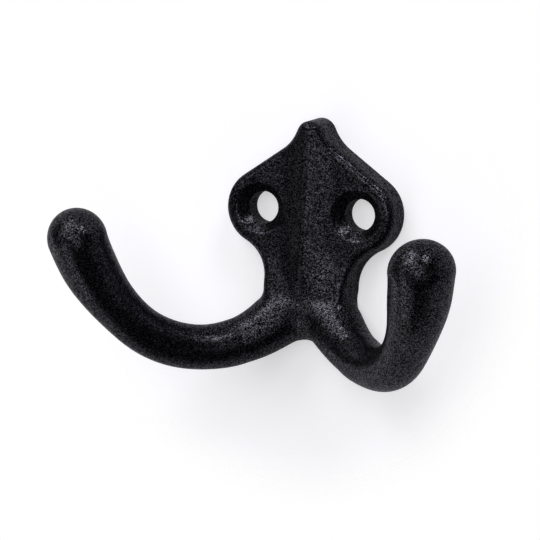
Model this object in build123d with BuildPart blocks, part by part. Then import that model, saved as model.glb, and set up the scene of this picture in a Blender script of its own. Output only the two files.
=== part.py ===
import os
from math import cos, pi, radians, sin, tan

from build123d import *

# A cast double wall hook in one piece. The wall is the plane Y = 0 and the front faces -Y.
# The origin lies on the back face, midway between the two screw holes. Sizes in millimetres.

# Screw holes
hole_spacing = 17.0
bore_d = 5.2
sink_d = 8.4
sink_angle = 90.0
sink_round = 0.5

# Outline of the back plate, seen from the front
lobe_r = 6.45
shoulder_angle = 34.5
tip_r = 2.6
tip_drop = 1.32
neck_r = 8.0
waist_half = 7.6
waist_r = 6.7

# Thickness and front face of the back plate
plate_t = 4.55
ridge_t = 6.3
scoop_half = 6.0
crest_half = 0.6
draft = 4.0
front_round = 1.3
fairing_z = -5.5
fairing_run = 11.5
root_cover = 0.45

# Arms: a yoke joins them inside the plate, then each one drops, turns through its crook
# and rises, in a plane that is splayed from the wall and leans forward toward its top
root_z = -13.8
arm_splay = 40.5
arm_lean = 12.5
drop_angle = 37.0
drop_length = 9.4
yoke_bend_r = 7.0
crook_r = 17.9
crook_sweep = 78.0
crook_lead = 16.0
riser_r = 36.6
riser_sweep = 27.4

# Section of the arms, and the lengths over which it changes at either end
yoke_r = 4.85
slim_r = 3.68
bulb_wide = 10.4
bulb_deep = 9.5
bulb_dome = 4.9
yoke_taper = 17.0
bulb_taper = 18.0
blend_r = 3.0

hole_x = hole_spacing / 2
arm_plane = Plane(
    origin=(0, 0, root_z),
    x_dir=(cos(radians(arm_splay)), -sin(radians(arm_splay)), 0),
    z_dir=(
        -sin(radians(arm_splay)) * cos(radians(arm_lean)),
        -cos(radians(arm_splay)) * cos(radians(arm_lean)),
        -sin(radians(arm_lean)),
    ),
)
across = Vector(1, 0, 0)
drop_dir = arm_plane.x_dir.rotate(Axis((0, 0, 0), arm_plane.z_dir), -drop_angle)
half_turn = drop_dir.get_angle(across)
yoke_plane = Plane(origin=(0, 0, root_z), x_dir=across, z_dir=drop_dir.cross(across))

# Path of the right arm, from the middle of the yoke to the centre of the bulb
with BuildLine(yoke_plane) as yoke_line:
    yoke_sag = yoke_bend_r / cos(radians(half_turn)) - yoke_bend_r
    JernArc((0, -yoke_sag), (1, 0), yoke_bend_r, -half_turn)
with BuildLine(arm_plane) as arm_line:
    bend_end = yoke_bend_r * tan(radians(half_turn))
    start = (bend_end * cos(radians(drop_angle)), -bend_end * sin(radians(drop_angle)))
    drop = PolarLine(start, drop_length - bend_end, -drop_angle)
    crook = JernArc(drop @ 1, drop % 1, crook_r, crook_sweep)
    JernArc(crook @ 1, crook % 1, riser_r, riser_sweep)
bend_edge = yoke_line.edges()[0]
drop_edge, crook_edge, riser_edge = arm_line.edges()
path = Wire([bend_edge, drop_edge, crook_edge, riser_edge])
yoke_mid = path @ 0
lead_share = crook_lead / crook_sweep
yoke_end = bend_edge.length + drop_edge.length + crook_edge.length * lead_share
outer_path = Wire([crook_edge.trim(lead_share, 1), riser_edge])


def ease(share):
    """Smooth step from 0 to 1."""
    return (1 - cos(pi * min(max(share, 0), 1))) / 2


def arm_radius(along, bulb_d):
    """Section radius at a length along the path, for a bulb of this size across."""
    thinned = (yoke_r - slim_r) * ease(along / yoke_taper)
    swelled = (bulb_d / 2 - slim_r) * ease(1 - (path.length - along) / bulb_taper)
    return yoke_r - thinned + swelled


def section_plane(along, back):
    """Plane square to the path at a length along it, with its X axis turned to the back."""
    share = along / path.length
    return Plane(path @ share, x_dir=back, z_dir=path % share)


def scoop(x):
    """Share of the ridge's height at a distance from the middle: 1 on the crest, 0 at the foot."""
    run = (x**2 + crest_half**2) ** 0.5 - crest_half
    full_run = (scoop_half**2 + crest_half**2) ** 0.5 - crest_half
    return (1 - run / full_run) ** 2


# Domed end of a bulb
with BuildPart() as dome:
    Sphere(1, arc_size1=0, align=(Align.CENTER, Align.CENTER, Align.MIN))
    scale(by=(bulb_wide / 2, bulb_deep / 2, bulb_dome))

# One arm beyond the yoke: the crook, the riser and the bulb with its dome
with BuildPart() as arm:
    for n in range(8):
        along = yoke_end + outer_path.length * n / 7
        with BuildSketch(section_plane(along, -arm_plane.z_dir)):
            Ellipse(arm_radius(along, bulb_wide), arm_radius(along, bulb_deep))
    sweep(path=outer_path, multisection=True)
    with Locations(section_plane(path.length, -arm_plane.z_dir)):
        add(dome.part)

# Both arms on the yoke, which is one smooth body from arm to arm, trimmed at the wall
with BuildPart() as arms:
    steps = [yoke_end * share for share in (0, 0.15, 0.3, 0.45, 0.6, 0.75, 0.9, 0.97, 1)]
    for along in reversed(steps[1:]):
        right = section_plane(along, (0, 1, 0))
        left = Plane(
            (-right.origin.X, right.origin.Y, right.origin.Z),
            x_dir=(0, 1, 0),
            z_dir=(right.z_dir.X, -right.z_dir.Y, -right.z_dir.Z),
        )
        with BuildSketch(left):
            Circle(arm_radius(along, bulb_deep))
    for along in steps:
        with BuildSketch(section_plane(along, (0, 1, 0))):
            Circle(arm_radius(along, bulb_deep))
    loft()
    add(arm.part)
    add(mirror(arm.part, about=Plane.YZ))
    split(bisect_by=Plane.XZ, keep=Keep.TOP)

# The round end of the stem starts just below the waist arcs
waist_end = ((lobe_r + waist_r) ** 2 - (waist_half + waist_r - hole_x) ** 2) ** 0.5
stem_z = -waist_end - 0.2

# Front of the back plate: flats round the screw holes, scooped up to a ridge along the middle.
# Toward the yoke the ridge fades and the flats swell forward, so that both end just inside it.
with BuildPart() as front_form:
    side_x = hole_x + 2 * lobe_r
    high_z = hole_x + 3 * lobe_r
    low_z = stem_z - 2 * waist_half
    root_t = yoke_r - yoke_mid.Y - root_cover
    right_x = [scoop_half * share for share in (0.06, 0.15, 0.3, 0.5, 0.75, 1)]
    scoop_x = [-x for x in reversed(right_x)] + [0] + right_x
    for z in [fairing_z - fairing_run * n / 5 for n in range(6)] + [low_z]:
        share = ease((fairing_z - z) / fairing_run)
        crest_t = ridge_t + (root_t - ridge_t) * share
        flat_t = plate_t + (0.98 * root_t - plate_t) * share
        with BuildSketch(Plane.XY.offset(z)):
            with BuildLine():
                flank = [(x, -flat_t - (crest_t - flat_t) * scoop(x)) for x in scoop_x]
                Spline(flank, tangents=((1, 0), (1, 0)))
                Polyline(
                    flank[-1],
                    (side_x, -flat_t),
                    (side_x, 0),
                    (-side_x, 0),
                    (-side_x, -flat_t),
                    flank[0],
                )
            make_face()
    loft()
    extrude(front_form.faces().sort_by(Axis.Z)[-1], amount=high_z - fairing_z)

with BuildPart() as double_hook:
    # Plate outline: two lobes, straight shoulders up to a nub, and a stem that ends in the yoke
    with BuildSketch(Plane.XZ) as outline:
        with Locations((hole_x, 0), (-hole_x, 0)):
            Circle(lobe_r)
        shoulder_x = hole_x + lobe_r * sin(radians(shoulder_angle))
        shoulder_z = lobe_r * cos(radians(shoulder_angle))
        apex_z = shoulder_z + shoulder_x * tan(radians(shoulder_angle))
        with BuildLine():
            Polyline(
                (hole_x, 0),
                (shoulder_x, shoulder_z),
                (0, apex_z),
                (-shoulder_x, shoulder_z),
                (-hole_x, 0),
                close=True,
            )
        make_face()
        with Locations((0, stem_z)):
            Rectangle(2 * waist_half, -stem_z, align=(Align.CENTER, Align.MIN))
            Circle(waist_half)
        with Locations((0, yoke_mid.Z - yoke_r / 8)):
            Rectangle(
                4 * waist_half,
                2 * waist_half,
                align=(Align.CENTER, Align.MAX),
                mode=Mode.SUBTRACT,
            )
        with Locations((0, apex_z - tip_drop)):
            Circle(tip_r)
        fillet(outline.vertices().group_by(Axis.Y)[-1], neck_r)
        waists = outline.vertices().filter_by(lambda v: -1.01 * lobe_r < v.Y < -lobe_r / 2)
        fillet(waists, waist_r)
    extrude(amount=2 * ridge_t, taper=draft)
    add(front_form.part, mode=Mode.INTERSECT)

    # Round the front rim, except at the stem's flat end, which lies inside the yoke
    front = double_hook.faces().filter_by(lambda f: f.normal_at().Y < -0.5)
    walls = double_hook.faces().filter_by(lambda f: f.normal_at().Y > -0.5)
    wall_edges = walls.filter_by(lambda f: f.normal_at().Z > -0.9).edges()
    fillet(front.edges().filter_by(lambda e: e in wall_edges), front_round)

    # Join the arms with a soft blend where they leave the plate
    add(arms.part)
    fillet(double_hook.edges(Select.NEW), blend_r)

    # Screw holes, countersunk from the front face, with a rounded mouth
    with Locations(Plane.XZ.offset(ridge_t)):
        with Locations((hole_x, 0), (-hole_x, 0)):
            mouth_r = sink_d / 2 + (ridge_t - plate_t) * tan(radians(sink_angle / 2))
            CounterSinkHole(bore_d / 2, mouth_r, counter_sink_angle=sink_angle)
    sinks = double_hook.faces().filter_by(GeomType.CONE)
    rims = sinks.edges().filter_by(lambda e: e.center().Y < sink_round - plate_t)
    fillet(rims, sink_round)

os.makedirs("parts", exist_ok=True)
double_hook.part.label = "double_hook"
export_step(double_hook.part, "parts/double_hook.step")
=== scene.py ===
from math import cos, pi, radians, sin

import bpy
from mathutils import Matrix, Vector

# A black cast wall hook against a pale wall. Lengths are in metres and angles in degrees.
# The hook's back lies in the plane Y = 0, its front faces -Y, and +Z is up.
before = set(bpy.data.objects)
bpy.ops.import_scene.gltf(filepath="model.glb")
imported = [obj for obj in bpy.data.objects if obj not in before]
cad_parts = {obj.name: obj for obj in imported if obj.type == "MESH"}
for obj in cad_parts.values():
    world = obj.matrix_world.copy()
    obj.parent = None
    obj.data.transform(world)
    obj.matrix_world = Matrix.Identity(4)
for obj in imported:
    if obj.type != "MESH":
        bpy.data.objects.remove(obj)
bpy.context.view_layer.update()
scene = bpy.context.scene
scene.view_settings.view_transform = "Standard"

# Camera: to the right of the hook, a little above it, and turned slightly about its own axis.
# The image's width and the focal length are in pixels, and the sensor's width in millimetres.
VIEW_AZIMUTH = 25.027
VIEW_ELEVATION = 7.496
VIEW_ROLL = 2.143
VIEW_DISTANCE = 0.39139
AIM_RIGHT = -0.007943
AIM_UP = -0.009823
IMAGE_WIDTH = 540
FOCAL_PIXELS = 2409.95
SENSOR_WIDTH = 36.0
NEAR_CLIP = 0.01

# Lamps: soft disks that face the hook, each with its name, azimuth, elevation, size and strength.
# Full power is that of a lamp of strength 1, in watts.
LAMP_DISTANCE = 0.8
LAMP_CENTRE = Vector((0, -0.012, -0.006))
FULL_POWER = (pi * LAMP_DISTANCE) ** 2
LAMPS = (
    ("front_box", 5, 20, 0.50, 0.23),
    ("front_left_box", -35, 20, 0.50, 0.12),
    ("top_left_box", -35, 54, 0.56, 0.52),
    ("top_right_box", 48, 53, 0.26, 0.28),
    ("level_card", 25, -4, 0.50, 0.10),
    ("low_front_card", -30, -25, 0.50, 0.09),
    ("low_left_card", -45, -55, 0.50, 0.12),
    ("left_card", -85, -25, 0.50, 0.10),
    ("left_level_card", -45, -8, 0.50, 0.02),
    ("back_low_card", 180, -45, 0.50, 0.20),
    ("back_high_card", 180, 45, 0.50, 0.20),
    ("back_left_card", -130, -10, 0.50, 0.06),
    ("back_right_card", 130, -10, 0.50, 0.06),
)

# World: white where it is seen, with a faint even light of its own
WHITE = (1, 1, 1, 1)
SEEN_STRENGTH = 1.0
AMBIENT = 0.02

# Wall: a pale sheet just behind the hook. It fades out between two radii about its centre, and
# rays that are shorter than the back's reach go through it.
WALL_HALF = 0.3
WALL_CENTRE = (-0.004, 0.0002, -0.008)
WALL_COLOUR = (0.63, 0.62, 0.66, 1)
WALL_GLOW = 0.48
FADE_START = 0.03
FADE_END = 0.043
BACK_REACH = 0.0004

# Coat: near-black satin powder coat with fine sandy specks, over a faint grain and the slight
# swell of a casting. A scale is the number of cells or waves to the metre.
PAINT_COLOUR = (0.0005, 0.0005, 0.0006, 1)
SPECK_COLOUR = (0.0095, 0.009, 0.011, 1)
SPECK_SCALE = 7600.0
SPECK_POWER = 3.4
SPECK_SHINE = 1.4
SHINE_TINT = (0.86, 0.83, 1.0, 1)
ROUGHNESS = 0.3
GRAIN = {"scale": 3600.0, "detail": 1.0, "strength": 0.3, "height": 0.00012}
SWELL = {"scale": 420.0, "detail": 2.0, "strength": 0.25, "height": 0.0003}


def direction(azimuth, elevation):
    """Unit vector that points away from the hook; azimuth 0 is straight out from the wall."""
    around = radians(azimuth)
    above = radians(elevation)
    return Vector((sin(around) * cos(above), -cos(around) * cos(above), sin(above)))


def add_camera():
    """Camera at its viewing angle and distance, rolled, and aimed a little beside the origin."""
    camera_data = bpy.data.cameras.new("camera")
    camera_data.sensor_width = SENSOR_WIDTH
    camera_data.lens = SENSOR_WIDTH * FOCAL_PIXELS / IMAGE_WIDTH
    camera_data.clip_start = NEAR_CLIP
    camera = bpy.data.objects.new("camera", camera_data)
    backward = direction(VIEW_AZIMUTH, VIEW_ELEVATION)
    level_right = Vector((cos(radians(VIEW_AZIMUTH)), sin(radians(VIEW_AZIMUTH)), 0))
    level_up = backward.cross(level_right)
    tilt = radians(VIEW_ROLL)
    right = level_right * cos(tilt) + level_up * sin(tilt)
    up = level_up * cos(tilt) - level_right * sin(tilt)
    pose = Matrix((right, up, backward)).transposed().to_4x4()
    pose.translation = backward * VIEW_DISTANCE + right * AIM_RIGHT + up * AIM_UP
    camera.matrix_world = pose
    scene.collection.objects.link(camera)
    scene.camera = camera


def add_lamp(name, azimuth, elevation, size, strength):
    """Soft disk of light that faces the hook and that the camera doesn't see."""
    lamp_data = bpy.data.lights.new(name, "AREA")
    lamp_data.shape = "DISK"
    lamp_data.size = size
    lamp_data.energy = strength * FULL_POWER
    lamp = bpy.data.objects.new(name, lamp_data)
    toward_lamp = direction(azimuth, elevation)
    lamp.matrix_world = toward_lamp.to_track_quat("Z", "Y").to_matrix().to_4x4()
    lamp.location = LAMP_CENTRE + toward_lamp * LAMP_DISTANCE
    lamp.visible_camera = False
    scene.collection.objects.link(lamp)


class Nodes:
    """A node tree that starts empty, with short ways to add its nodes."""

    def __init__(self, tree):
        self.tree = tree
        tree.nodes.clear()

    def add(self, kind, inputs=None, **settings):
        """Add a node; each input, by name or number, takes a value or another node's output."""
        node = self.tree.nodes.new(kind)
        for name, value in settings.items():
            setattr(node, name, value)
        for key, value in (inputs or {}).items():
            if isinstance(value, bpy.types.NodeSocket):
                self.tree.links.new(value, node.inputs[key])
            else:
                node.inputs[key].default_value = value
        return node

    def math(self, operation, first, second):
        """Add a maths node for two values or outputs, and give its output."""
        return self.add("ShaderNodeMath", {0: first, 1: second}, operation=operation).outputs[0]

    def bump(self, place, scale, detail, strength, height):
        """Add a bump node that takes its height from a noise pattern."""
        noise = self.add("ShaderNodeTexNoise", {"Vector": place, "Scale": scale, "Detail": detail})
        relief = {"Height": noise.outputs[0], "Strength": strength, "Distance": height}
        return self.add("ShaderNodeBump", relief)


def make_world():
    """White to the camera, and behind the wall in reflections and through clear things too."""
    world = bpy.data.worlds.new("studio")
    world.use_nodes = True
    nodes = Nodes(world.node_tree)
    path = nodes.add("ShaderNodeLightPath").outputs
    heading = nodes.add("ShaderNodeTexCoord").outputs["Generated"]
    inward = nodes.add("ShaderNodeSeparateXYZ", {"Vector": heading}).outputs["Y"]
    behind_wall = nodes.math("GREATER_THAN", inward, 0.0)
    indirect = nodes.math("MAXIMUM", path["Is Glossy Ray"], path["Is Transmission Ray"])
    reflected = nodes.math("MULTIPLY", indirect, behind_wall)
    seen = nodes.math("MAXIMUM", path["Is Camera Ray"], reflected)
    levels = {"Factor": seen, "A": AMBIENT, "B": SEEN_STRENGTH}
    strength = nodes.add("ShaderNodeMix", levels, data_type="FLOAT").outputs[0]
    background = nodes.add("ShaderNodeBackground", {"Color": WHITE, "Strength": strength})
    nodes.add("ShaderNodeOutputWorld", {"Surface": background.outputs[0]})
    return world


def make_wall_paint():
    """Pale matt paint that takes the hook's shadow and throws light back on it.

    A glow for the camera keeps the shadow faint, and the camera sees the wall fade out away from
    the hook. The paint is clear from behind, and right behind the hook, so that its back is lit.
    """
    paint = bpy.data.materials.new("white_wall")
    paint.use_nodes = True
    nodes = Nodes(paint.node_tree)
    place = nodes.add("ShaderNodeTexCoord").outputs["Object"]
    radius = nodes.add("ShaderNodeVectorMath", {0: place}, operation="LENGTH").outputs["Value"]
    band = {"Value": radius, "From Min": FADE_START, "From Max": FADE_END}
    fade = nodes.add("ShaderNodeMapRange", band, interpolation_type="SMOOTHSTEP").outputs[0]
    path = nodes.add("ShaderNodeLightPath").outputs
    seen = path["Is Camera Ray"]
    faded = nodes.math("MULTIPLY", fade, seen)
    from_behind = nodes.add("ShaderNodeNewGeometry").outputs["Backfacing"]
    at_back = nodes.math("LESS_THAN", path["Ray Length"], BACK_REACH)
    open_back = nodes.math("MAXIMUM", from_behind, at_back)
    clear = nodes.math("MAXIMUM", faded, open_back)
    matt = nodes.add("ShaderNodeBsdfDiffuse", {"Color": WALL_COLOUR}).outputs[0]
    glow_strength = nodes.math("MULTIPLY", seen, WALL_GLOW)
    glow = nodes.add("ShaderNodeEmission", {"Color": WHITE, "Strength": glow_strength}).outputs[0]
    sheet = nodes.add("ShaderNodeAddShader", {0: matt, 1: glow}).outputs[0]
    see_through = nodes.add("ShaderNodeBsdfTransparent").outputs[0]
    mixed = nodes.add("ShaderNodeMixShader", {0: clear, 1: sheet, 2: see_through}).outputs[0]
    nodes.add("ShaderNodeOutputMaterial", {"Surface": mixed})
    return paint


def add_wall():
    """Square sheet in its own paint, which isn't part of the hook."""
    wall_mesh = bpy.data.meshes.new("wall")
    corners = [
        (-WALL_HALF, 0, -WALL_HALF),
        (WALL_HALF, 0, -WALL_HALF),
        (WALL_HALF, 0, WALL_HALF),
        (-WALL_HALF, 0, WALL_HALF),
    ]
    wall_mesh.from_pydata(corners, [], [range(len(corners))])
    wall_mesh.materials.append(make_wall_paint())
    wall = bpy.data.objects.new("wall", wall_mesh)
    wall.location = WALL_CENTRE
    scene.collection.objects.link(wall)


def make_coat():
    """Black paint whose specks are brighter and shinier than the ground between them."""
    coat = bpy.data.materials.new("sanded_black_coat")
    coat.use_nodes = True
    nodes = Nodes(coat.node_tree)
    place = nodes.add("ShaderNodeTexCoord").outputs["Object"]
    cells = nodes.add("ShaderNodeTexVoronoi", {"Vector": place, "Scale": SPECK_SCALE})
    level = nodes.add("ShaderNodeSeparateColor", {"Color": cells.outputs["Color"]}).outputs[0]
    speck = nodes.math("POWER", level, SPECK_POWER)
    shine = nodes.math("MULTIPLY", speck, SPECK_SHINE)
    colour = nodes.add("ShaderNodeValToRGB", {"Fac": speck})
    ground_end, speck_end = colour.color_ramp.elements
    ground_end.color = PAINT_COLOUR
    speck_end.color = SPECK_COLOUR
    swell = nodes.bump(place, **SWELL)
    grain = nodes.bump(place, **GRAIN)
    nodes.tree.links.new(swell.outputs[0], grain.inputs["Normal"])
    finish = {
        "Base Color": colour.outputs[0],
        "Roughness": ROUGHNESS,
        "Specular IOR Level": shine,
        "Specular Tint": SHINE_TINT,
        "Normal": grain.outputs[0],
    }
    paint = nodes.add("ShaderNodeBsdfPrincipled", finish)
    nodes.add("ShaderNodeOutputMaterial", {"Surface": paint.outputs[0]})
    return coat


add_camera()
for lamp in LAMPS:
    add_lamp(*lamp)
scene.world = make_world()
add_wall()
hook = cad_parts["double_hook"]
hook.data.materials.clear()
hook.data.materials.append(make_coat())
